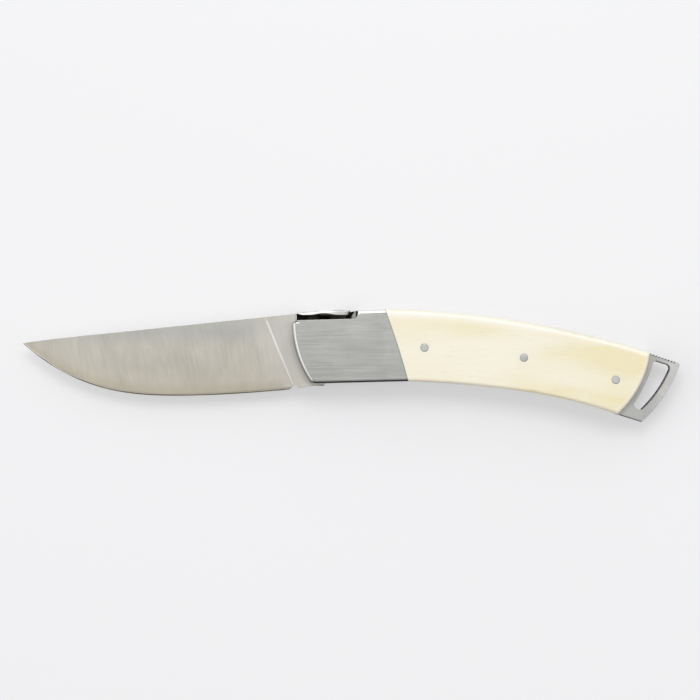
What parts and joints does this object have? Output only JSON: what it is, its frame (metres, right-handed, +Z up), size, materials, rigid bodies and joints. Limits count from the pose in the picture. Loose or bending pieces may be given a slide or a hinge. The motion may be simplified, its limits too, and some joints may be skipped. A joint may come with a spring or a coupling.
{
  "type": "folding pocket knife",
  "caption": "Folding pocket knife with steel bolsters, smooth bone scales, a filed rocking lock bar with a thumb plate, and a slotted tail lever that frees the blade.",
  "frame": {"origin": "on the blade pivot's axis, on the lower outer face, with the knife lying open on its right side", "axes": "+X from the blade pivot to the tail of the handle, +Y to the spine, +Z up through the left side"},
  "size_m": [0.2023, 0.0346, 0.0114],
  "materials": {
    "blade_steel": "satin, brushed across the blade",
    "bolster_steel": "satin, brushed lengthwise",
    "bar_steel": "satin with a filed spine",
    "liner_steel": "satin",
    "rivet_steel": "ground flush",
    "pin_steel": "drawn",
    "spring_steel": "tempered",
    "bone": "polished bone"
  },
  "bodies": {
    "handle": {"left_liner": "liner_steel", "left_bolster": "bolster_steel", "left_scale": "bone", "left_front_rivet": "rivet_steel", "left_middle_rivet": "rivet_steel", "left_bolster_upper_pin": "pin_steel", "left_bolster_lower_pin": "pin_steel", "right_liner": "liner_steel", "right_bolster": "bolster_steel", "right_scale": "bone", "right_front_rivet": "rivet_steel", "right_middle_rivet": "rivet_steel", "right_bolster_upper_pin": "pin_steel", "right_bolster_lower_pin": "pin_steel", "lock_spring": "spring_steel", "spring_block": "pin_steel", "spring_rivet": "pin_steel", "spring_block_pin": "pin_steel", "blade_pivot_pin": "pin_steel", "lock_pivot_pin": "pin_steel", "rear_rivet": "rivet_steel"},
    "blade": {"blade": "blade_steel"},
    "lock_bar": {"lock_bar": "bar_steel"}
  },
  "joints": [
    {"name": "blade_fold", "type": "hinge", "parent": "handle", "child": "blade", "pos_m": [0, 0, 0.0057], "axis": [0, 0, 1], "range_deg": [0, 171.8]},
    {"name": "lock_rock", "type": "hinge", "parent": "handle", "child": "lock_bar", "pos_m": [0.059, 0.0075, 0.0057], "axis": [0, 0, -1], "range_deg": [-0.8, 1.3], "stiffness_Nm_per_rad": 6, "springref_deg": -3.44, "deforming": ["lock_spring"]}
  ]
}
